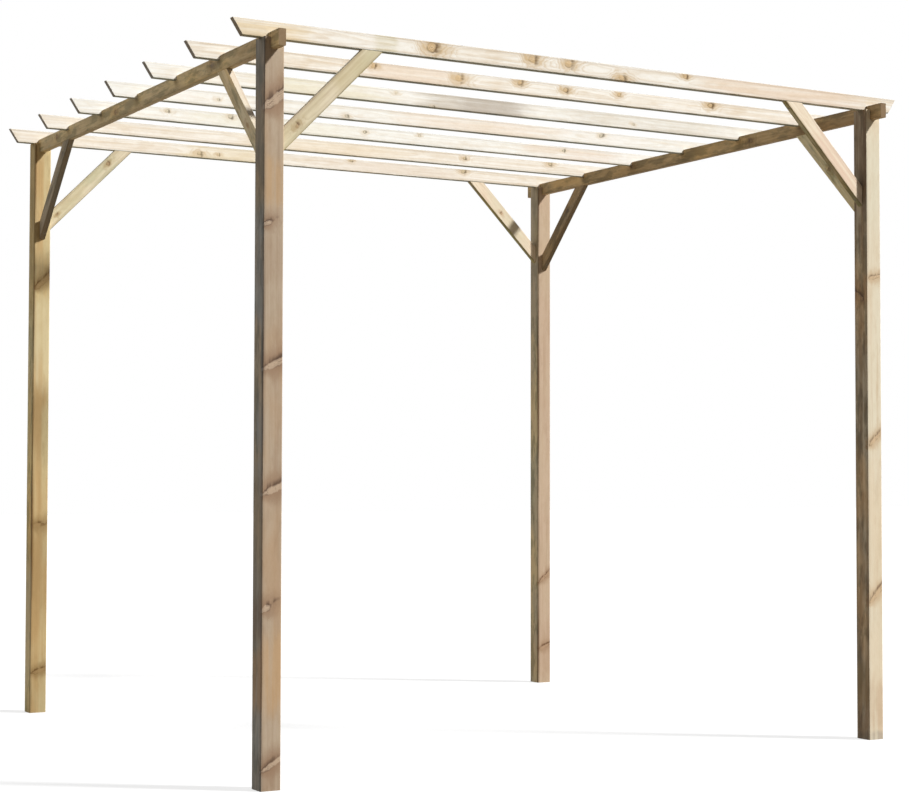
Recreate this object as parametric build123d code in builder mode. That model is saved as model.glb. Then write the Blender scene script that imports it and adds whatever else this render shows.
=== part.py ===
"""A free-standing garden pergola of planed timber.

Four square posts with forked tops carry two side beams.  Seven rafters lie across the beams in shallow
housings, and a pair of knee braces stiffens each post.

Lengths are in millimetres.  The origin is on the ground in the middle of the plan.  +X runs along the
rafters, +Y along the beams and away from the front, and +Z is up.
"""
import os

from build123d import *

# Plan, between the centre lines of the posts
bay_length = 2510.0
bay_depth = 2352.0

# Posts
post_side = 70.0
post_height = 2400.0
post_arris = 4.0

# Side beams
beam_thickness = 26.0
beam_height = 55.0
beam_overhang = 60.0
beam_arris = 2.5

# Rafters
rafter_count = 7
rafter_thickness = 24.0
rafter_height = 55.0
rafter_overhang = 100.0
rafter_undercut = 36.0
rafter_arris = 2.5

# Knee braces
brace_thickness = 24.0
brace_width = 55.0
brace_reach = 370.0
brace_arris = 2.5

# How the timbers fit together
housing_depth = 17.0
housing_clearance = 0.5
fork_clearance = 0.3
cut_overrun = 5.0

# A beam stands proud of the forks by the depth of the rafters' housings.
fork_depth = beam_height - housing_depth
beam_underside = post_height - fork_depth
rafter_underside = post_height
rafter_pitch = bay_depth / (rafter_count - 1)
post_half = post_side / 2

# Where each post stands, as a side along X and a side along Y.
corners = {
    "front_left": (-1, -1),
    "front_right": (1, -1),
    "back_right": (1, 1),
    "back_left": (-1, 1),
}


def corner_centre(corner):
    """The centre of a post's foot."""
    side_x, side_y = corners[corner]
    return side_x * bay_length / 2, side_y * bay_depth / 2


def write(piece, name):
    """Labels a finished piece and writes it to its own file."""
    piece.label = name
    export_step(piece, f"parts/{name}.step")


def make_post(corner):
    """A square post whose top is slotted along Y, so that two cheeks hold the beam."""
    x, y = corner_centre(corner)
    with BuildPart() as post:
        with BuildSketch(Plane((x, y, 0))):
            RectangleRounded(post_side, post_side, post_arris)
        extrude(amount=post_height)
        with BuildSketch(Plane((x, y, beam_underside))):
            Rectangle(beam_thickness + 2 * fork_clearance, post_side + 2 * cut_overrun)
        extrude(amount=fork_depth + cut_overrun, mode=Mode.SUBTRACT)
    return post.part


def make_beam(side_x):
    """A side beam with square ends and a row of housings for the rafters along its top edge."""
    length = bay_depth + post_side + 2 * beam_overhang
    x = side_x * bay_length / 2
    middle = Plane((x, 0, beam_underside + beam_height / 2), x_dir=(1, 0, 0), z_dir=(0, 1, 0))
    with BuildPart() as beam:
        with BuildSketch(middle):
            RectangleRounded(beam_thickness, beam_height, beam_arris)
        extrude(amount=length / 2, both=True)
        with BuildSketch(Plane((x, 0, rafter_underside))):
            with GridLocations(0, rafter_pitch, 1, rafter_count):
                Rectangle(beam_thickness + 2 * cut_overrun, rafter_thickness + 2 * housing_clearance)
        extrude(amount=housing_depth + cut_overrun, mode=Mode.SUBTRACT)
    return beam.part


def make_rafter(index):
    """A rafter with eased long edges and both ends undercut on a slant."""
    y = (index - (rafter_count - 1) / 2) * rafter_pitch
    half_length = bay_length / 2 + post_half + rafter_overhang
    with BuildPart() as rafter:
        with BuildSketch(Plane((0, y, rafter_underside), x_dir=(1, 0, 0), z_dir=(0, -1, 0))):
            with BuildLine():
                Polyline(
                    (-half_length, rafter_height),
                    (half_length, rafter_height),
                    (half_length - rafter_undercut, 0),
                    (-half_length + rafter_undercut, 0),
                    close=True,
                )
            make_face()
        extrude(amount=rafter_thickness / 2, both=True)
        fillet(rafter.edges().filter_by(Axis.X), rafter_arris)
    return rafter.part


def make_brace(plane):
    """A 45 degree brace drawn in its own plane.

    The plane's origin is the inner corner between post and rail, its x runs out along the rail and its y
    runs down the post.
    """
    inner_reach = brace_reach - brace_width * 2 ** 0.5
    with BuildPart() as brace:
        with BuildSketch(plane):
            with BuildLine():
                Polyline(
                    (inner_reach, 0),
                    (brace_reach, 0),
                    (0, brace_reach),
                    (0, inner_reach),
                    close=True,
                )
            make_face()
        extrude(amount=brace_thickness / 2, both=True)
        slant = Axis(plane.origin, plane.y_dir - plane.x_dir)
        fillet(brace.edges().filter_by(slant), brace_arris)
    return brace.part


def make_rafter_brace(corner):
    """The brace from a post up to the end rafter, in line with the rafter."""
    side_x, side_y = corners[corner]
    x, y = corner_centre(corner)
    inner_face = x - side_x * post_half
    return make_brace(Plane((inner_face, y, rafter_underside), x_dir=(-side_x, 0, 0), z_dir=(0, -side_x, 0)))


def make_beam_brace(corner):
    """The brace from a post up to the side beam, in line with the beam."""
    side_x, side_y = corners[corner]
    x, y = corner_centre(corner)
    inner_face = y - side_y * post_half
    return make_brace(Plane((x, inner_face, beam_underside), x_dir=(0, -side_y, 0), z_dir=(side_y, 0, 0)))


os.makedirs("parts", exist_ok=True)

for corner in corners:
    write(make_post(corner), f"post_{corner}")

for side, side_x in (("left", -1), ("right", 1)):
    write(make_beam(side_x), f"beam_{side}")

for index in range(rafter_count):
    write(make_rafter(index), f"rafter_{index + 1}")

for corner in corners:
    write(make_rafter_brace(corner), f"rafter_brace_{corner}")
    write(make_beam_brace(corner), f"beam_brace_{corner}")
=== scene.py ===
# %% [markdown]
# # A timber pergola, dressed
# The solids arrive finished: four forked posts, two notched beams, seven rafters and eight knee braces.
# This lesson sets a camera where the photographer stood, lights the frame, grows each timber its own wood
# and adds the screw heads.

# %% Load the frame
import math
from collections import namedtuple

import bmesh
import bpy
from mathutils import Color, Matrix, Vector


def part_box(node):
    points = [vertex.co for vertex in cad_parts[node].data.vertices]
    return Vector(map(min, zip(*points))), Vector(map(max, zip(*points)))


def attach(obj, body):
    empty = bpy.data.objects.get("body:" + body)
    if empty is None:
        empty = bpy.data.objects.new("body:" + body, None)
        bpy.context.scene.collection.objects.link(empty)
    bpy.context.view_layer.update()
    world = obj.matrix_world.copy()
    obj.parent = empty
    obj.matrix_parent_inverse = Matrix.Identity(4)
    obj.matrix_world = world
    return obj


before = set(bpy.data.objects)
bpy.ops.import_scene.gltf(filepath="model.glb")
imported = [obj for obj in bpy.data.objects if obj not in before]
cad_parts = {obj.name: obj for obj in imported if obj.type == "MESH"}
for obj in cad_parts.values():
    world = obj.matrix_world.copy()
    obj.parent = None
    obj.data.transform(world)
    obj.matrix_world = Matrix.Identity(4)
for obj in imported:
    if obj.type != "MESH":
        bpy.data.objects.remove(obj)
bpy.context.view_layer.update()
print("timbers:", len(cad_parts))

# %% [markdown]
# ## Camera
# The photograph was taken from about chest height, to the left of the front.  A short lens with a shift
# could keep the uprights straight, as in pictures of buildings.  A long lens keeps them nearly parallel
# without one, so a place, a turn, a tilt, a slight roll and a focal length are enough.

# %% Camera
PHOTO_WIDTH = 909
FOCAL_LENGTH_PX = 1973.3
SENSOR_WIDTH = 36.0
CAMERA_PLACE = Vector((-3.8637, -6.9458, 0.9988))
CAMERA_TURN = math.radians(29.73)
CAMERA_TILT = math.radians(2.175)
CAMERA_ROLL = math.radians(0.103)


def add_object(name, data):
    """Puts a new object with its data, such as a lens, a lamp or a mesh, into the scene."""
    made = bpy.data.objects.new(name, data)
    bpy.context.scene.collection.objects.link(made)
    return made


def add_camera():
    """A camera at the photographer's place, turned from straight ahead towards the right."""
    lens = bpy.data.cameras.new("photographer")
    lens.sensor_width = SENSOR_WIDTH
    lens.lens = FOCAL_LENGTH_PX / PHOTO_WIDTH * SENSOR_WIDTH
    camera = add_object("photographer", lens)
    turn = Matrix.Rotation(-CAMERA_TURN, 4, "Z")
    tilt = Matrix.Rotation(math.pi / 2 + CAMERA_TILT, 4, "X")
    roll = Matrix.Rotation(CAMERA_ROLL, 4, "Z")
    camera.matrix_world = Matrix.Translation(CAMERA_PLACE) @ turn @ tilt @ roll
    bpy.context.scene.camera = camera
    return lens


print("lens of", round(add_camera().lens, 2), "mm")

# %% [markdown]
# ## Shader arithmetic
# Wood is a sum of many small patterns, and a graph of nodes hides the sums in its wires.  The class here
# wraps one socket and lets Python's own signs add the Math nodes, so that a pattern reads like a formula.
# A ramp is a smooth step.  It turns a soft noise into a mark with an edge, and it runs downwards where
# its start is above its end.

# %% A socket that can be reckoned with
Ramp = namedtuple("Ramp", "start end low high", defaults=(0.0, 1.0))


def both_ways(operation):
    """The two methods behind one arithmetic sign: with this value on its left, and on its right."""
    def on_left(self, other):
        return self.math(operation, self, other)

    def on_right(self, other):
        return self.math(operation, other, self)

    return on_left, on_right


class Shade:
    """One output socket of a node tree.  Arithmetic on it adds Math nodes to that tree."""

    __add__, __radd__ = both_ways("ADD")
    __sub__, __rsub__ = both_ways("SUBTRACT")
    __mul__, __rmul__ = both_ways("MULTIPLY")
    __truediv__, __rtruediv__ = both_ways("DIVIDE")
    __pow__, __rpow__ = both_ways("POWER")

    def __init__(self, tree, socket=None):
        self.tree = tree
        self.socket = socket

    def node(self, kind, settings, sockets, output=0):
        """Adds a node, sets its settings, fills its sockets and returns one of its outputs."""
        made = self.tree.nodes.new(kind)
        for name, value in settings.items():
            setattr(made, name, value)
        for key, value in sockets.items():
            if isinstance(value, Shade):
                self.tree.links.new(value.socket, made.inputs[key])
            else:
                made.inputs[key].default_value = value
        return Shade(self.tree, made.outputs[output] if made.outputs else None)

    def math(self, operation, *values):
        """Adds a Math node for values that are numbers or sockets."""
        return self.node("ShaderNodeMath", {"operation": operation}, dict(enumerate(values)))

    def most(self, other):
        """The larger of this value and another."""
        return self.math("MAXIMUM", self, other)

    def unsigned(self):
        """This value without its sign."""
        return self.math("ABSOLUTE", self)

    def fraction(self):
        """What this value has past its whole number."""
        return self.math("FRACT", self)

    def ramp(self, start, end, low=0.0, high=1.0):
        """A smooth step from low, where this value is start, to high, where it is end."""
        sockets = {"Value": self, "From Min": start, "From Max": end, "To Min": low, "To Max": high}
        return self.node("ShaderNodeMapRange", {"interpolation_type": "SMOOTHSTEP"}, sockets)


print("signs that add Math nodes: + - * / **")

# %% [markdown]
# ## Colours and directions
# A Math node would turn a colour grey and can't hold a direction.  So colours go through Mix nodes, one
# to blend two of them and one to multiply them as dirt does, and directions go through Vector Math.
# Colours are written as the 0 to 255 values of a picture, which are easy to judge by eye.  A shader wants
# linear light, so they are converted.

# %% Colours
# A Mix node has sockets for numbers, vectors and colours.  These are the amount and those for colours.
MIX_AMOUNT, MIX_FIRST, MIX_SECOND, MIX_RESULT = 0, 6, 7, 2
PICTURE_WHITE = 255


def paint(*values):
    """A colour in a shader's linear light, from its red, green and blue picture values."""
    return (*Color([value / PICTURE_WHITE for value in values]).from_srgb_to_scene_linear(), 1.0)


def tint(colour, other, amount):
    """A colour blended towards another one by an amount."""
    sockets = {MIX_AMOUNT: amount, MIX_FIRST: colour, MIX_SECOND: other}
    return amount.node("ShaderNodeMix", {"data_type": "RGBA"}, sockets, MIX_RESULT)


def filtered(colour, factors, amount):
    """A colour multiplied by three factors, as far as an amount says."""
    sockets = {MIX_AMOUNT: amount, MIX_FIRST: colour, MIX_SECOND: (*factors, 1.0)}
    settings = {"data_type": "RGBA", "blend_type": "MULTIPLY"}
    return amount.node("ShaderNodeMix", settings, sockets, MIX_RESULT)


print("picture grey 128 is", round(paint(128, 128, 128)[0], 3), "in linear light")


# %% Directions
def dot(vector, way):
    """How far a vector reaches along a direction."""
    return vector.node("ShaderNodeVectorMath", {"operation": "DOT_PRODUCT"}, {0: vector, 1: way}, "Value")


def length(vector):
    """How long a vector is."""
    return vector.node("ShaderNodeVectorMath", {"operation": "LENGTH"}, {0: vector}, "Value")


def less(vector, other):
    """A vector less another one."""
    return vector.node("ShaderNodeVectorMath", {"operation": "SUBTRACT"}, {0: vector, 1: other})


def scaled(way, reach):
    """A fixed direction times a value that changes over the surface."""
    return reach.node("ShaderNodeVectorMath", {"operation": "SCALE"}, {0: way, "Scale": reach})


def part(vector, axis):
    """A vector's X, Y or Z."""
    return vector.node("ShaderNodeSeparateXYZ", {}, {0: vector}, axis)


UP = Vector((0, 0, 1))
ALONG_RAFTERS = Vector((1, 0, 0))
ALONG_BEAMS = Vector((0, 1, 0))
print("up is", tuple(UP))

# %% [markdown]
# ## Floor
# The pergola stands on a white page.  A plain white floor would look grey in places and light the timbers
# from below.  So this one has two looks, told apart by the kind of ray.  To the camera and in mirrors it
# is mostly glowing paper, and the rest is matt, which keeps the pergola's shadow.  To light that bounces
# off it, it is dull ground.

# %% Floor
FLOOR_SIZE = 80.0
FLOOR_BOUNCE = (0.13, 0.105, 0.075, 1.0)
FLOOR_SHADOW_SHARE = 0.25
WHITE = (1.0, 1.0, 1.0, 1.0)
DIRECT_RAYS = ("Is Camera Ray", "Is Glossy Ray", "Is Transmission Ray")


def empty_tree(owner):
    """Clears the nodes of a material or a world and returns the start of its new ones."""
    owner.use_nodes = True
    owner.node_tree.nodes.clear()
    return Shade(owner.node_tree)


def seen_directly(start):
    """One where a ray comes from the camera, a mirror or glass, zero where it only carries light."""
    camera, mirror, glass = (start.node("ShaderNodeLightPath", {}, {}, ray) for ray in DIRECT_RAYS)
    return camera.most(mirror).most(glass)


def white_page():
    """Paper that shows a shadow, and dull ground for the light that bounces off it."""
    material = bpy.data.materials.new("white_floor")
    start = empty_tree(material)
    paper = start.node("ShaderNodeEmission", {}, {"Color": WHITE, "Strength": 1.0})
    matt = start.node("ShaderNodeBsdfDiffuse", {}, {"Color": WHITE})
    ground = start.node("ShaderNodeBsdfDiffuse", {}, {"Color": FLOOR_BOUNCE})
    shown = start.node("ShaderNodeMixShader", {}, {0: FLOOR_SHADOW_SHARE, 1: paper, 2: matt})
    both = start.node("ShaderNodeMixShader", {}, {0: seen_directly(start), 1: ground, 2: shown})
    start.node("ShaderNodeOutputMaterial", {}, {"Surface": both})
    return material


def mesh_of(shape, name):
    """Turns a bmesh into a mesh and frees it."""
    mesh = bpy.data.meshes.new(name)
    shape.to_mesh(mesh)
    shape.free()
    return mesh


def add_floor():
    """A wide sheet under the feet."""
    shape = bmesh.new()
    bmesh.ops.create_grid(shape, x_segments=1, y_segments=1, size=FLOOR_SIZE / 2)
    floor = add_object("floor", mesh_of(shape, "floor"))
    floor.data.materials.append(white_page())


add_floor()
print("floor", FLOOR_SIZE, "m wide")

# %% [markdown]
# ## Sky
# Outdoors the shaded sides are lit by the sky.  A sky texture would bring its own blue and its own sun.
# A weak even light is plainer and leaves the shadows deep, and the camera sees white in its place.

# %% Sky
SKY_STRENGTH = 0.14
SKY_COLOUR = (1.0, 0.985, 0.95, 1.0)


def add_sky():
    """A pale even sky that the camera sees as plain white."""
    world = bpy.data.worlds.new("sky")
    bpy.context.scene.world = world
    start = empty_tree(world)
    light = start.node("ShaderNodeBackground", {}, {"Color": SKY_COLOUR, "Strength": SKY_STRENGTH})
    paper = start.node("ShaderNodeBackground", {}, {"Color": WHITE, "Strength": 1.0})
    both = start.node("ShaderNodeMixShader", {}, {0: seen_directly(start), 1: light, 2: paper})
    start.node("ShaderNodeOutputWorld", {}, {"Surface": both})


add_sky()
print("sky of strength", SKY_STRENGTH)

# %% [markdown]
# ## Sun and lamps
# The sun stands to the front right, and its shadows on the timbers are soft.  An area lamp near the frame
# would light one post more than another.  A sun lamp lights all alike, and a broad one melts the shadows
# of things far above.  A soft lamp on the left lifts the shaded sides, and one behind lights the faces
# that the photograph doesn't show.

# %% Sun and lamps
Lamp = namedtuple("Lamp", "name towards strength degrees_wide")
LAMPS = (
    Lamp("sun", Vector((0.80, -0.62, 1.00)), 5.6, 6.0),
    Lamp("left_light", Vector((-1.0, 0.30, 0.30)), 0.55, 30.0),
    Lamp("back_light", Vector((0.45, 0.80, 0.30)), 1.5, 40.0),
)


def add_lamp(lamp):
    """A sun lamp that shines from a direction."""
    light = bpy.data.lights.new(lamp.name, "SUN")
    light.energy = lamp.strength
    light.angle = math.radians(lamp.degrees_wide)
    add_object(lamp.name, light).rotation_euler = lamp.towards.to_track_quat("Z", "Y").to_euler()


for lamp in LAMPS:
    add_lamp(lamp)
    height = math.asin(lamp.towards.normalized().z)
    print(lamp.name, round(math.degrees(height)), "degrees above the ground")
bpy.context.scene.view_settings.view_transform = "Standard"

# %% [markdown]
# ## Where a point lies in its timber
# Every pattern in wood follows the tree, so a point is first told how far it lies along its timber and
# how far off the middle line, both ways.  A map unwrapped by hand could tell it for each timber in turn.
# Three dot products with the timber's own directions do it for posts, rails and slanting braces alike.

# %% Timber directions
ALONG, WIDTH, THICKNESS = range(3)


class Timber:
    """One timber's middle, half sizes and directions: along its grain, its width and its thickness."""

    def __init__(self, node, along, wide):
        along, wide = along.normalized(), wide.normalized()
        self.node = node
        self.ways = (along, wide, along.cross(wide))
        self.middle = Vector()
        self.halves = []
        corners = [vertex.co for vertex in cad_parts[node].data.vertices]
        for way in self.ways:
            reaches = [way.dot(corner) for corner in corners]
            self.middle += way * (max(reaches) + min(reaches)) / 2
            self.halves.append((max(reaches) - min(reaches)) / 2)


def brace_ways(node, rail):
    """A brace runs up and inwards, along the rail that it carries.  Its width is square to that."""
    low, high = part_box(node)
    inward = -math.copysign(1, rail.dot(low + high))
    return rail * inward + UP, UP * inward - rail


def timber_of(node):
    """Reads a timber's directions from its name and its place."""
    rail = ALONG_BEAMS if node.startswith("beam") else ALONG_RAFTERS
    if node.startswith("post"):
        return Timber(node, UP, ALONG_RAFTERS)
    if "brace" in node:
        return Timber(node, *brace_ways(node, rail))
    return Timber(node, rail, UP)


timbers = {node: timber_of(node) for node in sorted(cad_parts)}
print("directions for", len(timbers), "timbers")

# %% [markdown]
# ## Grain
# Streaks that are drawn on the faces would break at every edge.  Here the wood is a solid that the faces
# cut through: its patterns are noise in space, drawn out along the timber as fibres are.  A seed shifts
# the noise, so that no two timbers share a streak.

# %% Grain
Noise = namedtuple("Noise", "lengthwise crosswise detail roughness", defaults=(2.0, 0.55))
SKIN_DEPTH = 0.004
SKIN_FULL_SHARE = 1 / 8
END_FACE = Ramp(0.45, 0.75)


class Grain:
    """Places, faces and noise of one timber, as values of its material."""

    def __init__(self, start, timber, seed):
        self.start = start
        self.seed = seed
        self.halves = timber.halves
        offset = less(start.node("ShaderNodeTexCoord", {}, {}, "Object"), timber.middle)
        self.offsets = [dot(offset, way) for way in timber.ways]
        self.along, self.wide, self.thick = self.offsets
        normal = start.node("ShaderNodeNewGeometry", {}, {}, "Normal")
        self.upward = dot(normal, UP)
        self.end = dot(normal, timber.ways[ALONG]).unsigned().ramp(*END_FACE)

    def stretched(self, noise, output="Fac"):
        """Noise drawn out along the grain, with its sizes given as repeats per metre."""
        across, through = self.wide * noise.crosswise, self.thick * noise.crosswise
        spot = {"X": self.along * noise.lengthwise + self.seed, "Y": across, "Z": through}
        vector = self.start.node("ShaderNodeCombineXYZ", {}, spot)
        sockets = {"Vector": vector, "Scale": 1.0, "Detail": noise.detail, "Roughness": noise.roughness}
        return self.start.node("ShaderNodeTexNoise", {"noise_dimensions": "3D"}, sockets, output)

    def skin(self, axis, sign, depth=SKIN_DEPTH):
        """The outside of the width or thickness, on one side, or on both where the sign is zero."""
        offset = self.offsets[axis]
        outward = offset * sign if sign else offset.unsigned()
        return outward.ramp(self.halves[axis] - depth, self.halves[axis] - depth * SKIN_FULL_SHARE)


print("skin", SKIN_DEPTH * 1000, "mm deep")

# %% [markdown]
# ## Pith
# The pith is the core line of the trunk, and rings and branches all start from it.  A timber sawn from a
# small trunk has it close by, mostly just outside one face.  A straight line would give ruled stripes, so
# it wanders a little.  Wood within the heart's radius is heartwood, and sapwood is outside it.  The
# corners beside the pith are the darkest.

# %% Pith
Growth = namedtuple("Growth", "pith wander heart")
NOISE_MIDDLE = 0.5
DRIFT = Noise(1.3, 2.0, detail=1.0)
RIPPLE = Noise(45.0, 70.0)
RIPPLE_DEPTH = 0.012
CORNER_DEPTH = 0.013


class Trunk(Grain):
    """A timber's place in the trunk that it was sawn from."""

    def __init__(self, start, timber, seed, growth):
        super().__init__(start, timber, seed)
        drift = self.stretched(DRIFT, "Color")
        drift_wide, drift_thick = ((part(drift, axis) - NOISE_MIDDLE) * growth.wander for axis in "YZ")
        self.pith_wide = self.wide - growth.pith[0] + drift_wide
        self.pith_thick = self.thick - growth.pith[1] + drift_thick
        self.ripple = (self.stretched(RIPPLE) - NOISE_MIDDLE) * RIPPLE_DEPTH
        wide_sign, thick_sign = ((value > 0) - (value < 0) for value in growth.pith)
        wide_skin = self.skin(WIDTH, wide_sign, CORNER_DEPTH)
        self.corner = wide_skin * self.skin(THICKNESS, thick_sign, CORNER_DEPTH)


print("corners", CORNER_DEPTH * 1000, "mm deep")

# %% [markdown]
# ## Knots
# A knot is a branch that the trunk grew round.  Discs laid on a face would give ovals only.  A branch
# here is a cone that starts at the pith, widens and rises, so a face across it shows an oval and a face
# along it a slanting tongue.  It has a rim of dark bark, rings of its own, a halo of bent grain, and a
# shade above, where the wood is resinous.

# %% One branch
Knot = namedtuple("Knot", "place angle radius rise")
KNOT_TAPER = 0.040
KNOT_RINGS = 3.5
KNOT_LIFT = 1.1
HALO_REACH = 3.6
HALO_SQUASH = 0.45
# Along the branch, in metres from the pith.
GIRTH = Ramp(0.0, KNOT_TAPER, 0.35, 1.0)
BEHIND_PITH = Ramp(0.0, -0.012, 0.0, HALO_REACH)
SHADE_OUTWARD = Ramp(0.012, KNOT_TAPER)
# Off its axis, in radii of the branch.
CORE = Ramp(1.1, 0.8)
BARK_INNER = Ramp(0.6, 0.95)
BARK_OUTER = Ramp(1.35, 1.0)
BARK_ABOVE = Ramp(-0.6, 0.6, 0.55, 1.0)
KNOT_FACE = Ramp(1.0, 0.8)
HALO = Ramp(HALO_REACH, 0.6)
BENT_GRAIN = Ramp(HALO_REACH, 0.0)
SHADE_AROUND = Ramp(2.4, 1.0)
SHADE_ABOVE = Ramp(0.3, 1.0)
# Within one of its rings, from 0 to 1.
KNOT_LINE = Ramp(0.55, 0.95, high=0.75)


class Branch:
    """One branch of a trunk: how far out along it a point lies, and how many of its radii off its axis."""

    def __init__(self, trunk, knot):
        self.knot = knot
        self.reach, aside = self.off_axis(trunk, 1.0)
        wide_aside = self.off_axis(trunk, HALO_SQUASH)[1]
        girth = self.reach.ramp(*GIRTH) * knot.radius
        behind = self.reach.ramp(*BEHIND_PITH)
        self.near = (length(aside) + trunk.ripple) / girth + behind
        self.around = (length(wide_aside) + trunk.ripple) / girth + behind
        self.above = part(aside, "X") / girth

    def off_axis(self, trunk, squash):
        """The reach of a point along the branch and its step off the axis, with the grain squashed."""
        turn = math.radians(self.knot.angle)
        axis = Vector((self.knot.rise * squash, math.cos(turn), math.sin(turn))).normalized()
        spot = {"X": (trunk.along - self.knot.place) * squash, "Y": trunk.pith_wide, "Z": trunk.pith_thick}
        offset = trunk.start.node("ShaderNodeCombineXYZ", {}, spot)
        reach = dot(offset, axis)
        return reach, less(offset, scaled(axis, reach))

    def rim(self):
        """Bark at the edge, darkest above, and thin rings inside it."""
        bark = self.near.ramp(*BARK_INNER) * self.near.ramp(*BARK_OUTER) * self.above.ramp(*BARK_ABOVE)
        rings = (self.near * KNOT_RINGS).fraction().ramp(*KNOT_LINE)
        return bark.most(rings * self.near.ramp(*KNOT_FACE))

    def shade(self):
        """Dark wood just above the branch, once it has left the pith."""
        above = self.near.ramp(*SHADE_AROUND) * self.above.ramp(*SHADE_ABOVE)
        return above * self.reach.ramp(*SHADE_OUTWARD)

    def lift(self):
        """How far the branch pushes the rings of the trunk outwards."""
        return self.around.ramp(*BENT_GRAIN) * (KNOT_LIFT * self.knot.radius)


print("a branch is at its full girth", KNOT_TAPER * 1000, "mm from the pith")

# %% [markdown]
# ## Pine
# Now the trunk gets its branches and its yearly rings, which are cylinders round the pith that bend round
# the branches.  The ends of a timber then show rings and its sides show long flames, with no picture laid
# on either.  Four noises of different length stand for fibres, streaks, clouds and patches.

# %% All patterns of one timber
# A band of colour along a timber: mostly a stain, and in some places painted shade and painted light.
Stain = namedtuple("Stain", "place half_length colour strength")
RING_WIDTH = 0.0038
RING_WAVE = Noise(5.0, 40.0)
RING_WAVE_DEPTH = 0.005
LATE_WOOD_START = Ramp(0.35, 0.9)
LATE_WOOD_END = Ramp(1.0, 0.93)
FIBRE = Noise(14.0, 1500.0, 3.0, 0.7)
STREAK = Noise(1.6, 70.0, 3.0)
CLOUD = Noise(9.0, 30.0, 3.0)
PATCH = Noise(2.6, 9.0)
STAIN_RAGGED = 0.9
STAIN_FULL_SHARE = 0.45
STAIN_STREAKS = Ramp(0.3, 0.55, 0.35, 1.0)


class Pine(Trunk):
    """All patterns of one timber's wood."""

    def __init__(self, start, timber, seed, growth, knots):
        super().__init__(start, timber, seed, growth)
        no_branch = start.node("ShaderNodeValue", {}, {})
        self.core = self.rim = self.halo = self.shade = self.lift = no_branch
        for knot in knots:
            self.add_branch(Branch(self, knot))
        square = self.pith_wide * self.pith_wide + self.pith_thick * self.pith_thick
        self.radius = square ** 0.5 + self.lift + self.stretched(RING_WAVE) * RING_WAVE_DEPTH
        season = (self.radius / RING_WIDTH).fraction()
        self.late = season.ramp(*LATE_WOOD_START) * season.ramp(*LATE_WOOD_END)
        noises = (FIBRE, STREAK, CLOUD, PATCH)
        self.fibre, self.streak, self.cloud, self.patch = (self.stretched(noise) for noise in noises)

    def add_branch(self, branch):
        """Lays one branch over those that are there already."""
        self.core = self.core.most(branch.near.ramp(*CORE))
        self.rim = self.rim.most(branch.rim())
        self.halo = self.halo.most(branch.around.ramp(*HALO))
        self.shade = self.shade.most(branch.shade())
        self.lift = self.lift + branch.lift()

    def stained_and_shaded(self, stain_and_shade):
        """How strongly a stain, or a band of painted shade and light, shows: over a length of the timber,
        with ragged and streaky ends.
        """
        ragged = (self.cloud - NOISE_MIDDLE) * (stain_and_shade.half_length * STAIN_RAGGED)
        away = (self.along + ragged - stain_and_shade.place).unsigned()
        body = away.ramp(stain_and_shade.half_length, stain_and_shade.half_length * STAIN_FULL_SHARE)
        return body * self.streak.ramp(*STAIN_STREAKS) * stain_and_shade.strength


print("rings", RING_WIDTH * 1000, "mm wide")

# %% [markdown]
# ## Colours of planed wood
# Treated pine isn't one brown.  Pale early wood and dark late wood take turns, the treatment soaks in
# unevenly, and fine fibres show as short lines.  A photograph of a plank could show it once.  Here a
# finish is a handful of colours, and the same layers blend them for every timber, so that timbers differ
# as real ones do.

# %% Planed wood
RING_SHARE = 0.22
RING_SHARE_NEAR_KNOTS = 0.4
STREAKS = Ramp(0.44, 0.66, high=0.34)
SAP_EDGE = 0.006
SAP_PATCHES = Ramp(0.32, 0.5)
PATCHES = Ramp(0.45, 0.70)
PATCH_SHARE = 0.8
CLOUDS = Ramp(0.50, 0.74, high=0.28)
FIBRES = Ramp(0.52, 0.8, high=0.18)
MOTTLE = Noise(24.0, 70.0, 4.0, 0.7)
MOTTLES = Ramp(0.40, 0.64, high=0.8)
MOTTLE_FACTORS = (0.95, 0.93, 0.90)


class Finish:
    """The colours of one kind of timber, and how dark its corners beside the pith are."""

    def __init__(self, pale, dark, patch, knot, rim, end, grime=0.2):
        self.pale, self.dark, self.patch = paint(*pale), paint(*dark), paint(*patch)
        self.knot, self.rim, self.end = paint(*knot), paint(*rim), paint(*end)
        self.grime = grime


def planed(pine, finish, heart, stains):
    """The colour of a planed face before its knots and its weather."""
    wood = tint(finish.pale, finish.dark, pine.late * (RING_SHARE + pine.halo * RING_SHARE_NEAR_KNOTS))
    wood = tint(wood, finish.dark, pine.streak.ramp(*STREAKS))
    sapwood = pine.radius.ramp(heart - SAP_EDGE, heart + SAP_EDGE) * pine.patch.ramp(*SAP_PATCHES)
    wood = tint(wood, finish.patch, pine.patch.ramp(*PATCHES).most(sapwood) * PATCH_SHARE)
    wood = tint(wood, finish.dark, pine.cloud.ramp(*CLOUDS))
    for stain_and_shade in stains:
        wood = tint(wood, paint(*stain_and_shade.colour), pine.stained_and_shaded(stain_and_shade))
    wood = tint(wood, finish.dark, pine.fibre.ramp(*FIBRES))
    return filtered(wood, MOTTLE_FACTORS, pine.stretched(MOTTLE).ramp(*MOTTLES))


print("fibres repeat every", round(1000 / FIBRE.crosswise, 2), "mm across the grain")

# %% [markdown]
# ## Colours of knots and ends
# A knot is browner than the wood round it, and its bark is nearly black.  Even rings of one darkness
# would look drawn with a compass, so streaks and clouds break them up.  Cut ends drink in dirt and water:
# they are darker than the faces, and their rings stand out.

# %% Knots and cut ends
HALO_FALL = 2.2
HALO_SHARE = 0.75
CORE_SHARE = 0.55
SHADE_STREAKS = Ramp(0.3, 0.6, high=0.9)
RIM_CLOUDS = Ramp(0.38, 0.60, high=0.85)
END_SHARE = 0.8
END_RING_SHARE = 0.4


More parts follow.
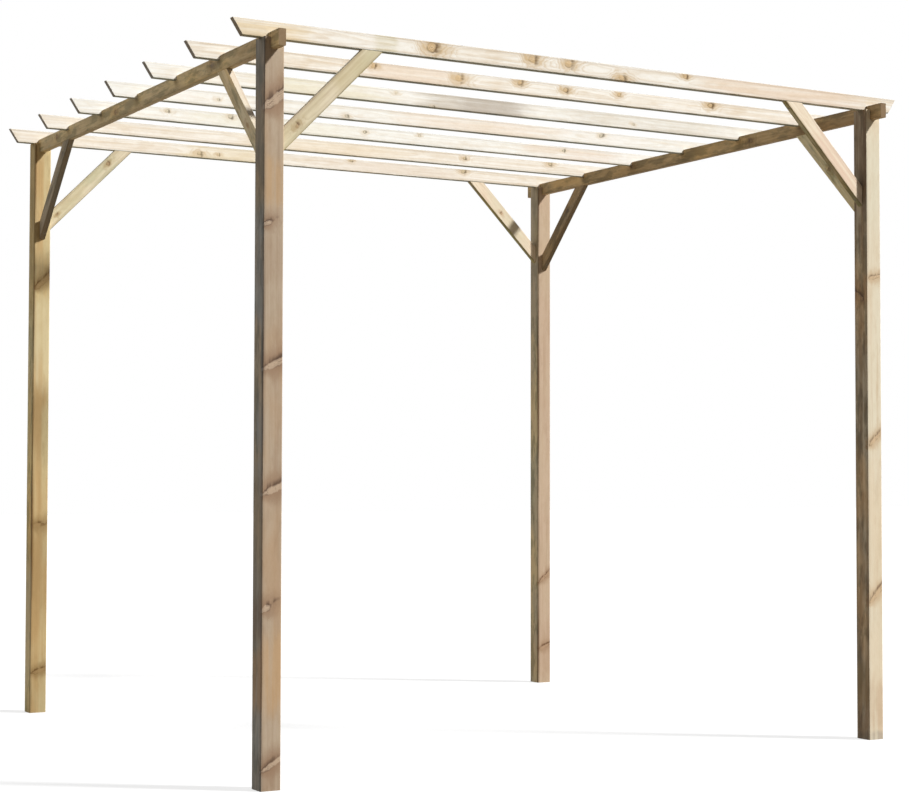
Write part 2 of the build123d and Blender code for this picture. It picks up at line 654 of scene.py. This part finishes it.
def knotted(wood, pine, finish):
    """Adds the knots with their halo, shade and rim."""
    wood = tint(wood, finish.dark, pine.halo ** HALO_FALL * HALO_SHARE)
    wood = tint(wood, finish.knot, pine.core * CORE_SHARE)
    wood = tint(wood, finish.rim, pine.shade * pine.streak.ramp(*SHADE_STREAKS))
    return tint(wood, finish.rim, pine.rim * pine.cloud.ramp(*RIM_CLOUDS))


def cut(wood, pine, finish):
    """Darkens the cut ends and shows their rings."""
    wood = tint(wood, finish.end, pine.end * END_SHARE)
    return tint(wood, finish.rim, pine.end * pine.late * END_RING_SHARE)


print("cut ends take", END_SHARE, "of their own colour")

# %% [markdown]
# ## Weather and painted shade
# Each timber has one side that lies in shade, and its colour there gets painted shade and painted light:
# factors below or above one multiply it, in clouds.  Rain and dust leave the upward faces grey.  A second
# material for that side would change at a hard line.  A thin skin on that side of the solid fades round
# the eased edge instead, and holds the factors, darker blotches, lighter patches and bands of its own.

# %% Weather and painted shade
# The side of a timber that lies in shade: factors that paint shade and light on it, and bands of its own.
Side = namedtuple("Side", "axis sign factors stains", defaults=((),))
CORNER_STREAKS = Ramp(0.28, 0.52)
PAINTED_SHADE_CLOUDS = Ramp(0.75, 1.25, 0.6, 1.1)
BLOTCH = Noise(7.0, 26.0, 4.0, 0.65)
BLOTCHES = Ramp(0.46, 0.62)
DARK_BLOTCH_FACTORS = (0.58, 0.60, 0.59)
PALE_PATCHES = Ramp(0.50, 0.66)
PALE_PATCH_FACTORS = (1.26, 1.16, 1.02)
RAINED_ON = Ramp(0.3, 0.8, high=0.65)
RAIN_GREY = paint(154, 147, 134)


def weathered_and_shaded(wood, pine, finish, side):
    """Adds the dirty corners, painted shade and light on the shaded side, and the grey of upward faces."""
    wood = tint(wood, finish.rim, pine.corner * pine.streak.ramp(*CORNER_STREAKS) * finish.grime)
    skin = pine.skin(side.axis, side.sign)
    # Painted shade and light: the shaded side's colour times its factors, in clouds.
    wood = filtered(wood, side.factors, skin * (pine.cloud + pine.streak).ramp(*PAINTED_SHADE_CLOUDS))
    # Darker blotches and lighter patches on the shaded side.
    wood = filtered(wood, DARK_BLOTCH_FACTORS, skin * pine.stretched(BLOTCH).ramp(*BLOTCHES))
    wood = filtered(wood, PALE_PATCH_FACTORS, skin * pine.patch.ramp(*PALE_PATCHES))
    for stain_and_shade in side.stains:
        wood = tint(wood, paint(*stain_and_shade.colour), skin * pine.stained_and_shaded(stain_and_shade))
    return tint(wood, RAIN_GREY, pine.upward.ramp(*RAINED_ON))


print("upward faces take", RAINED_ON.high, "of the rain's grey")

# %% [markdown]
# ## Relief, gloss and the whole material
# Planed pine is nearly matt.  Late wood and hard knots stand up a little, fibres leave fine grooves, and
# the planer leaves faint even waves.  That could be modelled in the mesh, but it is a fraction of a
# millimetre deep, so a bump is enough.

# %% The whole material
BUMP_STRENGTH = 0.5
BUMP_DEPTH = 0.0008
PLANER_MARK = 0.0055
PLANER_HEIGHT = 0.025
LATE_HEIGHT, FIBRE_HEIGHT, CORE_HEIGHT, RIM_GROOVE = 0.3, 0.5, 0.5, 0.6
MATT, FIBRE_MATT, CORE_GLOSS = 0.62, 0.16, 0.12
SPECULAR_LEVEL = 0.3


def relief(pine):
    """The fine relief of a planed face."""
    wave = pine.along * (math.tau / PLANER_MARK)
    planer = wave.math("SINE", wave) * PLANER_HEIGHT
    grain = pine.late * LATE_HEIGHT + pine.fibre * FIBRE_HEIGHT
    height = grain + pine.core * CORE_HEIGHT - pine.rim * RIM_GROOVE + planer
    sockets = {"Strength": BUMP_STRENGTH, "Distance": BUMP_DEPTH, "Height": height}
    return pine.start.node("ShaderNodeBump", {}, sockets)


def pine_of(timber, finish, growth, seed, knots, stains, side):
    """Treated pine for one timber."""
    material = bpy.data.materials.new(f"{timber.node}_pine")
    start = empty_tree(material)
    pine = Pine(start, timber, seed, growth, knots)
    wood = knotted(planed(pine, finish, growth.heart, stains), pine, finish)
    wood = cut(weathered_and_shaded(wood, pine, finish, side), pine, finish)
    rough = MATT + pine.fibre * FIBRE_MATT - pine.core * CORE_GLOSS
    sockets = {"Base Color": wood, "Roughness": rough, "Normal": relief(pine)}
    sockets["Specular IOR Level"] = SPECULAR_LEVEL
    surface = start.node("ShaderNodeBsdfPrincipled", {}, sockets)
    start.node("ShaderNodeOutputMaterial", {}, {"Surface": surface})
    return material


def dress(node, finish, growth, seed, knots, stains, side):
    """Gives one timber of the frame its own wood."""
    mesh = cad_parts[node].data
    mesh.materials.clear()
    mesh.materials.append(pine_of(timbers[node], finish, growth, seed, knots, stains, side))
    print(node, len(knots), "knots", len(stains) + len(side.stains), "stains")


print("planer marks", PLANER_MARK * 1000, "mm apart")

# %% [markdown]
# ## Front left post
# The nearest post shows the most: a pinkish brown front with slanting knots, and a side in shade whose
# blue-grey is painted shade.  One brown for all posts would be simpler, but each took the treatment
# differently.  All four are sawn from small trunks, so the pith is just outside the left face, near the
# front corner, and branches lie along the front as tongues.
#
# A knot's place is measured along the timber from its middle, and its angle round the pith from the width
# towards the thickness.  Stains and bands of painted shade and light have a place, half their length, a
# colour and a strength.  A side has an axis and a sign: across a post's width, minus one is its left face.
# That face lies in shade, and on each post its factors and a darker band at its top are painted shade
# and light.

# %% Front left post
POST_PITH = (-0.045, -0.030)
ALL_HEART = 1.0
POST_GROWTH = Growth(POST_PITH, wander=0.006, heart=ALL_HEART)
dress(
    "post_front_left",
    Finish(
        pale=(188, 170, 147),
        dark=(148, 118, 92),
        patch=(184, 155, 124),
        knot=(214, 191, 165),
        rim=(84, 62, 46),
        end=(120, 100, 78),
        grime=0.6,
    ),
    POST_GROWTH,
    seed=1.0,
    knots=[
        Knot(0.962, angle=-2, radius=0.016, rise=0.75),
        Knot(0.126, angle=-2, radius=0.012, rise=0.5),
        Knot(-0.269, angle=-1, radius=0.013, rise=0.43),
        Knot(0.59, angle=-20, radius=0.009, rise=0.4),
        Knot(-0.64, angle=-20, radius=0.011, rise=0.5),
        Knot(-1.147, angle=-1, radius=0.010, rise=0.6),
    ],
    stains=[
        Stain(0.73, 0.10, (194, 160, 118), 0.6),
        Stain(0.48, 0.10, (166, 142, 118), 0.5),
        Stain(-0.83, 0.16, (196, 160, 116), 0.6),
        Stain(-1.15, 0.10, (146, 118, 94), 0.4),
    ],
    # Painted shade: blue-grey factors on the shaded left face.
    side=Side(WIDTH, -1, factors=(0.64, 0.82, 1.07), stains=[
        # Painted shade: darker towards the top of the shaded side, under the roof.
        Stain(0.95, 0.40, (104, 97, 86), 0.6),
        Stain(-0.45, 0.35, (132, 116, 92), 0.5),
        Stain(-0.86, 0.13, (172, 138, 104), 0.7),
        Stain(-0.66, 0.09, (112, 90, 70), 0.6),
    ]),
)

# %% [markdown]
# ## Front right post
# This post is cream in front, with thin knots that rise steeply, and dark brown on its left side.  Shade
# alone would not make the side so dark, so its darker factors are painted shade, and so is the darker band
# at the top of that side, under the roof.

# %% Front right post
dress(
    "post_front_right",
    Finish(
        pale=(235, 226, 202),
        dark=(204, 176, 138),
        patch=(232, 216, 188),
        knot=(214, 184, 146),
        rim=(110, 84, 60),
        end=(140, 118, 92),
        grime=0.3,
    ),
    POST_GROWTH,
    seed=2.0,
    knots=[
        Knot(0.548, angle=-2, radius=0.007, rise=0.2),
        Knot(0.46, angle=75, radius=0.012, rise=0.6),
        Knot(-0.103, angle=-2, radius=0.008, rise=0.9),
        Knot(-0.697, angle=-2, radius=0.009, rise=0.95),
    ],
    stains=[
        Stain(0.95, 0.25, (232, 226, 202), 0.6),
        Stain(-0.45, 0.3, (232, 212, 180), 0.4),
        Stain(-1.08, 0.13, (206, 178, 146), 0.6),
        Stain(-1.2, 0.04, (168, 156, 142), 0.6),
    ],
    # Painted shade: darker factors on the shaded left face.
    side=Side(WIDTH, -1, factors=(0.45, 0.39, 0.34), stains=[
        # Painted shade: darker towards the top, under the roof.
        Stain(1.0, 0.30, (106, 84, 64), 0.7),
        # Lighter towards the foot.
        Stain(-1.0, 0.12, (150, 126, 88), 0.5),
    ]),
)

# %% [markdown]
# ## Back right post
# The farthest post is a pale rosy brown with two small knots near its foot.  Its left side lies in deep
# shade and is still light, so its factors are above one: they are painted light, and a darker band at the
# top of that side is painted shade, under the roof.

# %% Back right post
dress(
    "post_back_right",
    Finish(
        pale=(206, 181, 155),
        dark=(170, 138, 108),
        patch=(204, 182, 154),
        knot=(186, 154, 122),
        rim=(98, 66, 36),
        end=(126, 104, 80),
        grime=0.9,
    ),
    POST_GROWTH,
    seed=3.0,
    knots=[
        Knot(-0.733, angle=-2, radius=0.007, rise=0.85),
        Knot(-1.045, angle=-8, radius=0.007, rise=0.4),
    ],
    stains=[
        Stain(-0.2, 0.25, (206, 184, 156), 0.5),
        Stain(-1.05, 0.15, (190, 160, 134), 0.5),
    ],
    # Painted light: factors above one on the shaded left face.
    side=Side(WIDTH, -1, factors=(1.12, 1.30, 1.24), stains=[
        # Painted shade: darker towards the top, under the roof.
        Stain(1.0, 0.55, (158, 146, 126), 0.7),
    ]),
)

# %% [markdown]
# ## Back left post
# This post is golden.  It keeps a band of pale sapwood, the outer wood of the trunk, so its heart ends
# inside the timber and its pith wanders more.  A stripe on the face would run ruler straight, and the
# edge of the heart doesn't.  A pale stretch high on the front is painted light over the shadow of a
# rafter.
# The shaded left side's factors above one are painted light.  That side is darker towards the top, which
# is painted shade under the roof, and lighter towards the foot.

# %% Back left post
dress(
    "post_back_left",
    Finish(
        pale=(204, 172, 120),
        dark=(154, 124, 76),
        patch=(214, 198, 152),
        knot=(172, 140, 92),
        rim=(102, 70, 28),
        end=(122, 100, 66),
        grime=0.8,
    ),
    Growth(POST_PITH, wander=0.012, heart=0.052),
    seed=4.0,
    knots=[
        Knot(0.568, angle=-2, radius=0.011, rise=0.9),
        Knot(-0.42, angle=3, radius=0.010, rise=0.15),
        Knot(-1.04, angle=-3, radius=0.008, rise=0.3),
    ],
    stains=[
        Stain(0.35, 0.25, (222, 206, 164), 0.7),
        # Painted light: a pale stretch over the shadow of the rafter above.
        Stain(0.64, 0.12, (232, 204, 148), 0.7),
        Stain(-0.65, 0.60, (194, 160, 108), 0.7),
    ],
    # Painted light: factors above one on the shaded left face.
    side=Side(WIDTH, -1, factors=(1.15, 1.25, 1.20), stains=[
        # Painted shade: darker towards the top, under the roof.
        Stain(0.9, 0.6, (172, 146, 96), 0.7),
        # Lighter towards the foot.
        Stain(-0.85, 0.35, (218, 204, 168), 0.6),
    ]),
)

# %% [markdown]
# ## Beams
# The side beams are the same pine, a little browner, and the faces that show lie in the shade.  Their
# pith is outside the board, to its left, so a branch crosses the board and shows as an oval.  The left
# faces have no tint of their own, only darker blotches and lighter patches.

# %% Beams
BEAM_END = (124, 98, 70)
BEAM_RISE = 0.4
BEAM_GROWTH = Growth((0.0, -0.055), wander=0.03, heart=ALL_HEART)
UNTINTED = (1.0, 1.0, 1.0)
SHADED_FACE = Side(THICKNESS, -1, UNTINTED)
dress(
    "beam_left",
    Finish(
        pale=(228, 206, 160),
        dark=(168, 140, 98),
        patch=(208, 192, 146),
        knot=(142, 112, 76),
        rim=(98, 76, 50),
        end=BEAM_END,
    ),
    BEAM_GROWTH,
    seed=5.0,
    knots=[
        Knot(-0.75, angle=88, radius=0.011, rise=BEAM_RISE),
        Knot(0.2, angle=96, radius=0.008, rise=BEAM_RISE),
        Knot(0.9, angle=84, radius=0.008, rise=BEAM_RISE),
    ],
    stains=[
        Stain(-1.1, 0.3, (184, 158, 116), 0.7),
        Stain(0.4, 0.25, (194, 174, 130), 0.6),
    ],
    side=SHADED_FACE,
)
dress(
    "beam_right",
    Finish(
        pale=(206, 178, 132),
        dark=(152, 124, 84),
        patch=(194, 170, 124),
        knot=(130, 102, 68),
        rim=(92, 72, 48),
        end=BEAM_END,
    ),
    BEAM_GROWTH,
    seed=6.0,
    knots=[
        Knot(-0.5, angle=92, radius=0.009, rise=BEAM_RISE),
        Knot(0.35, angle=84, radius=0.010, rise=BEAM_RISE),
    ],
    stains=[
        Stain(-1.0, 0.35, (154, 128, 92), 0.8),
        Stain(0.5, 0.3, (176, 148, 104), 0.6),
    ],
    side=SHADED_FACE,
)

# %% [markdown]
# ## Rafters
# The rafters are the palest timbers: cream sapwood with rosy streaks and small brown knots, and one with
# a grey stain.  Seven finishes would be too many, so three are shared, and knots and stains tell the
# rafters apart.  The pith lies in front of the board, so that branches show as ovals.  The undersides get
# painted shade: darker factors with a slight green tint.

# %% Rafter finishes
RAFTER_END = (96, 82, 62)
CREAM_RAFTER = Finish(
    pale=(255, 252, 244),
    dark=(210, 180, 132),
    patch=(248, 240, 226),
    knot=(216, 182, 130),
    rim=(100, 74, 36),
    end=RAFTER_END,
)
WHITE_RAFTER = Finish(
    pale=(255, 255, 250),
    dark=(230, 214, 188),
    patch=(255, 252, 246),
    knot=(216, 204, 176),
    rim=(112, 104, 84),
    end=RAFTER_END,
)
SANDY_RAFTER = Finish(
    pale=(255, 250, 240),
    dark=(216, 190, 150),
    patch=(246, 236, 220),
    knot=(210, 190, 150),
    rim=(98, 84, 56),
    end=RAFTER_END,
)
print("rafter finishes: cream, white, sandy")

# %% Rafters
RAFTER_GROWTH = Growth((0.0, 0.055), wander=0.03, heart=ALL_HEART)
RAFTER_RISE = 0.55
RAFTER_SEED = 7.0
RAFTER_SEED_STEP = 3.1
# Painted shade: darker factors with a slight green tint on the undersides.
SHADED_UNDERSIDE = Side(WIDTH, -1, factors=(0.50, 0.55, 0.48))
ROSY = (240, 214, 188)
# Each rafter has its finish, its knots (place, angle, radius) and its stains, from the front to the back.
RAFTERS = {
    "rafter_1": (
        CREAM_RAFTER,
        [(-0.69, -80, 0.016), (-0.29, -80, 0.013), (-0.14, -82, 0.012), (0.08, -112, 0.011),
         (0.36, -72, 0.007)],
        [
            Stain(0.85, 0.50, ROSY, 0.55),
            Stain(-1.28, 0.22, (232, 210, 168), 0.7),
            Stain(-0.84, 0.06, (206, 196, 154), 0.6),
        ],
    ),
    "rafter_2": (
        CREAM_RAFTER,
        [(-0.36, -82, 0.012), (-0.10, -70, 0.009), (0.10, -78, 0.009), (0.34, -70, 0.007),
         (0.77, -74, 0.010), (-0.71, -70, 0.007)],
        [Stain(-0.55, 0.25, ROSY, 0.4)],
    ),
    "rafter_3": (
        WHITE_RAFTER,
        [(-0.41, -74, 0.005), (-0.25, -112, 0.004), (0.68, -98, 0.004)],
        [
            Stain(-0.08, 0.28, (202, 192, 176), 0.7),
            Stain(0.05, 0.20, (186, 176, 164), 0.5),
            Stain(0.75, 0.50, (222, 214, 198), 0.6),
            Stain(-0.70, 0.35, (240, 234, 208), 0.7),
        ],
    ),
    "rafter_4": (
        WHITE_RAFTER,
        [(-0.42, -112, 0.006), (0.79, -70, 0.008), (-0.97, -90, 0.005)],
        [Stain(0.2, 0.5, (246, 226, 204), 0.5)],
    ),
    "rafter_5": (
        WHITE_RAFTER,
        [(-0.14, -87, 0.005), (0.12, -74, 0.005), (0.85, -66, 0.005), (-1.02, -83, 0.006),
         (-0.75, -68, 0.008)],
        [Stain(0.9, 0.3, ROSY, 0.4), Stain(-0.5, 0.5, (248, 246, 228), 0.5)],
    ),
    "rafter_6": (
        SANDY_RAFTER,
        [(0.57, -83, 0.007), (1.03, -66, 0.008)],
        [Stain(-0.1, 0.5, (246, 230, 202), 0.5)],
    ),
    "rafter_7": (
        SANDY_RAFTER,
        [(0.19, -66, 0.006), (0.79, -70, 0.009), (-0.56, -98, 0.009), (-0.47, -94, 0.005)],
        [Stain(-0.4, 0.3, (238, 222, 182), 0.5), Stain(0.4, 0.5, (238, 224, 210), 0.4)],
    ),
}
for number, (node, (finish, places, stains)) in enumerate(RAFTERS.items()):
    knots = [Knot(*place, RAFTER_RISE) for place in places]
    dress(node, finish, RAFTER_GROWTH, RAFTER_SEED + RAFTER_SEED_STEP * number, knots, stains, SHADED_UNDERSIDE)

# %% [markdown]
# ## Braces under the rafters
# Four short lengths with mitred ends, pale with a green tint from the treatment.  The edge that faces down
# gets painted shade, darker and more green.  Painting that edge apart would need its own faces.  The skin
# of one side does it, and the sign says which way down is, because braces on the right lean the other way.

# %% Braces under the rafters
PALE_BRACE = Finish(
    pale=(250, 236, 212),
    dark=(206, 174, 136),
    patch=(246, 228, 204),
    knot=(188, 154, 116),
    rim=(122, 94, 62),
    end=(134, 116, 86),
)
GREEN_BRACE = Finish(
    pale=(230, 218, 190),
    dark=(176, 152, 110),
    patch=(206, 198, 160),
    knot=(166, 134, 94),
    rim=(112, 86, 58),
    end=(128, 108, 78),
)
BRACE_GROWTH = Growth((0.0, 0.05), wander=0.03, heart=ALL_HEART)
BRACE_RISE = 0.4
RAFTER_BRACE_SEED = 31.0
RAFTER_BRACE_SEED_STEP = 2.3
# Painted shade on the edge that faces down: darker, with more of the green tint.
PAINTED_SHADE_GREENED = (0.56, 0.58, 0.36)
# Each brace has its finish, its knots (place, angle, radius) and one stain.
RAFTER_BRACES = {
    "front_left": (GREEN_BRACE, [(-0.17, -88, 0.007)], Stain(0.12, 0.10, (206, 192, 152), 0.6)),
    "front_right": (PALE_BRACE, [], Stain(-0.05, 0.16, (240, 212, 190), 0.6)),
    "back_right": (PALE_BRACE, [(0.02, -84, 0.005)], Stain(0.0, 0.2, (228, 218, 190), 0.7)),
    "back_left": (
        GREEN_BRACE,
        [(0.126, -84, 0.007), (-0.20, -94, 0.005)],
        Stain(0.1, 0.12, (200, 196, 162), 0.7),
    ),
}
for number, (corner, (finish, places, stain_and_shade)) in enumerate(RAFTER_BRACES.items()):
    knots = [Knot(*place, BRACE_RISE) for place in places]
    seed = RAFTER_BRACE_SEED + RAFTER_BRACE_SEED_STEP * number
    under = Side(WIDTH, 1 if corner.endswith("right") else -1, PAINTED_SHADE_GREENED)
    dress(f"rafter_brace_{corner}", finish, BRACE_GROWTH, seed, knots, [stain_and_shade], under)

# %% [markdown]
# ## Braces under the beams
# The same lengths, turned to the beams.  Their left faces show, in shade.  The front pair is pale, and the
# darker, greener factors of their left faces are painted shade.  The back pair is so deep in the shade
# that it looks brown and slate grey.  Light alone would not tell them apart, so the back pair has darker
# finishes of its own, which are painted shade.

# %% Braces under the beams
# Painted shade: the darker finishes of the back pair.
SHADED_BROWN_BRACE = Finish(
    pale=(162, 141, 110),
    dark=(120, 96, 68),
    patch=(148, 130, 100),
    knot=(112, 86, 60),
    rim=(80, 62, 42),
    end=(108, 88, 64),
)
SHADED_SLATE_BRACE = Finish(
    pale=(166, 150, 124),
    dark=(122, 106, 82),
    patch=(152, 148, 136),
    knot=(112, 90, 66),
    rim=(82, 66, 50),
    end=(108, 88, 64),
)
BEAM_BRACE_SEED = 47.0
BEAM_BRACE_SEED_STEP = 2.9
FIRST_KNOT_PLACE = -0.1
KNOT_PLACE_STEP = 0.08
# Each brace has its finish and the factors of its left face, which paint shade on the front pair.
BEAM_BRACES = {
    "front_left": (PALE_BRACE, (0.78, 0.76, 0.58)),
    "front_right": (PALE_BRACE, (0.84, 0.87, 0.68)),
    "back_right": (SHADED_BROWN_BRACE, UNTINTED),
    "back_left": (SHADED_SLATE_BRACE, UNTINTED),
}
for number, (corner, (finish, factors)) in enumerate(BEAM_BRACES.items()):
    knot = Knot(FIRST_KNOT_PLACE + KNOT_PLACE_STEP * number, angle=-90, radius=0.006, rise=BRACE_RISE)
    seed = BEAM_BRACE_SEED + BEAM_BRACE_SEED_STEP * number
    dress(f"beam_brace_{corner}", finish, BRACE_GROWTH, seed, [knot], [], Side(THICKNESS, -1, factors))

# %% [markdown]
# ## Screw head
# The timbers are held by countersunk wood screws, and only their heads show.  A plain disc would be a
# dot.  A head starts as a ring, which is drawn up into a low cone and closed by a flat top with a cross
# cut in it.  It stands a hair proud, so that the solids need no holes.

# %% One screw head
HEAD_RADIUS = 0.0045
HEAD_FLAT = 0.0038
HEAD_PROUD = 0.0006
HEAD_SUNK = 0.0004
HEAD_SIDES = 24
CROSS_ARM = 0.0024
CROSS_HALF_WIDTH = 0.0006
CROSS_DEPTH = 0.0005


def pulled(shape, edges, step, grow=1.0):
    """Draws a loop of edges out into a wall and returns the loop at its far side."""
    made = bmesh.ops.extrude_edge_only(shape, edges=edges)["geom"]
    moved = [item for item in made if isinstance(item, bmesh.types.BMVert)]
    drawn = [item for item in made if isinstance(item, bmesh.types.BMEdge)]
    bmesh.ops.scale(shape, vec=(grow, grow, 1.0), verts=moved)
    bmesh.ops.translate(shape, vec=(0.0, 0.0, step), verts=moved)
    return [edge for edge in drawn if all(vertex in moved for vertex in edge.verts)]


def cross_outline(shape):
    """The outline of the cross: two outer corners and one inner corner, turned by quarters."""
    outer_left = Vector((CROSS_ARM, -CROSS_HALF_WIDTH, HEAD_PROUD))
    outer_right = Vector((CROSS_ARM, CROSS_HALF_WIDTH, HEAD_PROUD))
    inner = Vector((CROSS_HALF_WIDTH, CROSS_HALF_WIDTH, HEAD_PROUD))
    quarters = [Matrix.Rotation(math.pi / 2 * quarter, 3, "Z") for quarter in range(4)]
    points = [quarter @ point for quarter in quarters for point in (outer_left, outer_right, inner)]
    corners = [shape.verts.new(point) for point in points]
    return [shape.edges.new((corners[i - 1], corners[i])) for i in range(len(corners))]


def head_mesh():
    """One screw head round the z axis, with the timber's face at height zero."""
    shape = bmesh.new()
    bmesh.ops.create_circle(shape, segments=HEAD_SIDES, radius=HEAD_RADIUS)
    bmesh.ops.translate(shape, vec=(0.0, 0.0, -HEAD_SUNK), verts=shape.verts)
    seat = list(shape.edges)
    top = pulled(shape, seat, HEAD_PROUD + HEAD_SUNK, HEAD_FLAT / HEAD_RADIUS)
    slot = cross_outline(shape)
    bmesh.ops.triangle_fill(shape, edges=top + slot, use_beauty=True)
    bmesh.ops.edgeloop_fill(shape, edges=pulled(shape, slot, -CROSS_DEPTH))
    bmesh.ops.edgeloop_fill(shape, edges=seat)
    bmesh.ops.recalc_face_normals(shape, faces=shape.faces)
    return mesh_of(shape, "screw_head")


screw_head = head_mesh()
print("screw head", len(screw_head.polygons), "faces")

# %% [markdown]
# ## Steel of the screws
# The screws are zinc plated and have dulled out of doors.  A polished metal would flash white in the sun.
# Fine blots in the colour and in the roughness keep it quiet.

# %% Dulled zinc
ZINC = paint(120, 112, 96)
DULLED_ZINC = paint(84, 74, 58)
BLOTS_PER_METRE = 900.0
BLOT_DETAIL = 3.0
BLOT_EDGE = Ramp(0.4, 0.7)
ZINC_METALLIC = 0.8
ZINC_ROUGH = 0.42
BLOT_ROUGH = 0.3
ZINC_BUMP_STRENGTH = 0.3
ZINC_BUMP_DEPTH = 0.0002


def dulled_zinc():
    """Zinc-plated steel that has dulled out of doors."""
    material = bpy.data.materials.new("dull_zinc")
    start = empty_tree(material)
    place = start.node("ShaderNodeTexCoord", {}, {}, "Object")
    spots = {"Vector": place, "Scale": BLOTS_PER_METRE, "Detail": BLOT_DETAIL}
    blot = start.node("ShaderNodeTexNoise", {}, spots)
    colour = tint(ZINC, DULLED_ZINC, blot.ramp(*BLOT_EDGE))
    rough = ZINC_ROUGH + blot * BLOT_ROUGH
    pits = {"Strength": ZINC_BUMP_STRENGTH, "Distance": ZINC_BUMP_DEPTH, "Height": blot}
    bump = start.node("ShaderNodeBump", {}, pits)
    sockets = {"Base Color": colour, "Metallic": ZINC_METALLIC, "Roughness": rough, "Normal": bump}
    surface = start.node("ShaderNodeBsdfPrincipled", {}, sockets)
    start.node("ShaderNodeOutputMaterial", {}, {"Surface": surface})
    return material


steel = dulled_zinc()
print("screws of", steel.name)

# %% [markdown]
# ## Where the screws sit
# One goes through each rafter into each beam, two through the under edge of each brace, and one through a
# cheek of each forked post top.  Typed places would be lost when a size changes.  Each seat is worked out
# from the timbers' middles and half sizes, and its direction is that of the face it lies on.

# %% Screw seats
BRACE_SCREW_INSET = 0.034


def rafter_seats():
    """On the top of each rafter, over the middle of each beam."""
    for rafter in (timbers[node] for node in RAFTERS):
        for beam in (timbers["beam_left"], timbers["beam_right"]):
            yield Vector((beam.middle.x, rafter.middle.y, rafter.middle.z + rafter.halves[WIDTH])), UP


def brace_seats():
    """On the under edge of each brace, near both ends."""
    for brace in (timber for node, timber in timbers.items() if "brace" in node):
        along, wide = brace.ways[ALONG], brace.ways[WIDTH]
        under = wide if wide.z < 0 else -wide
        for end in (-1, 1):
            inset = along * end * (brace.halves[ALONG] - BRACE_SCREW_INSET)
            yield brace.middle + inset + under * brace.halves[WIDTH], under


def fork_seats():
    """On the right cheek of each post's fork, halfway up the fork."""
    fork_low = timbers["beam_left"].middle.z - timbers["beam_left"].halves[WIDTH]
    for post in (timber for node, timber in timbers.items() if node.startswith("post")):
        fork_top = post.middle.z + post.halves[ALONG]
        middle = Vector((post.middle.x, post.middle.y, (fork_low + fork_top) / 2))
        yield middle + ALONG_RAFTERS * post.halves[WIDTH], ALONG_RAFTERS


SEATS = {
    "rafter_screws": list(rafter_seats()),
    "brace_screws": list(brace_seats()),
    "post_screws": list(fork_seats()),
}
print("seats:", {name: len(seats) for name, seats in SEATS.items()})

# %% [markdown]
# ## Screws
# A head for each seat could be an object of its own, which would make 34 of them.  Heads of one kind are
# joined into one piece instead, and each is turned a little further than the one before, because a screw
# stops wherever it bites.

# %% Screws
SCREW_TURN = 0.7


def add_screws(name, seats):
    """Joins one head for each seat, a place and the way it faces, into one piece."""
    shape = bmesh.new()
    for number, (place, facing) in enumerate(seats):
        before = len(shape.verts)
        shape.from_mesh(screw_head)
        shape.verts.ensure_lookup_table()
        aimed = Matrix.Translation(place) @ facing.to_track_quat("Z", "Y").to_matrix().to_4x4()
        turned = aimed @ Matrix.Rotation(SCREW_TURN * number, 4, "Z")
        bmesh.ops.transform(shape, matrix=turned, verts=shape.verts[before:])
    piece = add_object(name, mesh_of(shape, name))
    piece.data.materials.append(steel)
    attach(piece, "root")
    print(name, len(seats), "heads", len(piece.data.polygons), "faces")


for name, seats in SEATS.items():
    add_screws(name, seats)
bpy.data.meshes.remove(screw_head)

# %% [markdown]
# ## Pieces
# Only the screw heads are new, so the dressed part should be as large as the solids.

# %% Pieces
print("pieces:", len(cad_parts), "timbers and", len(SEATS), "sets of screws")
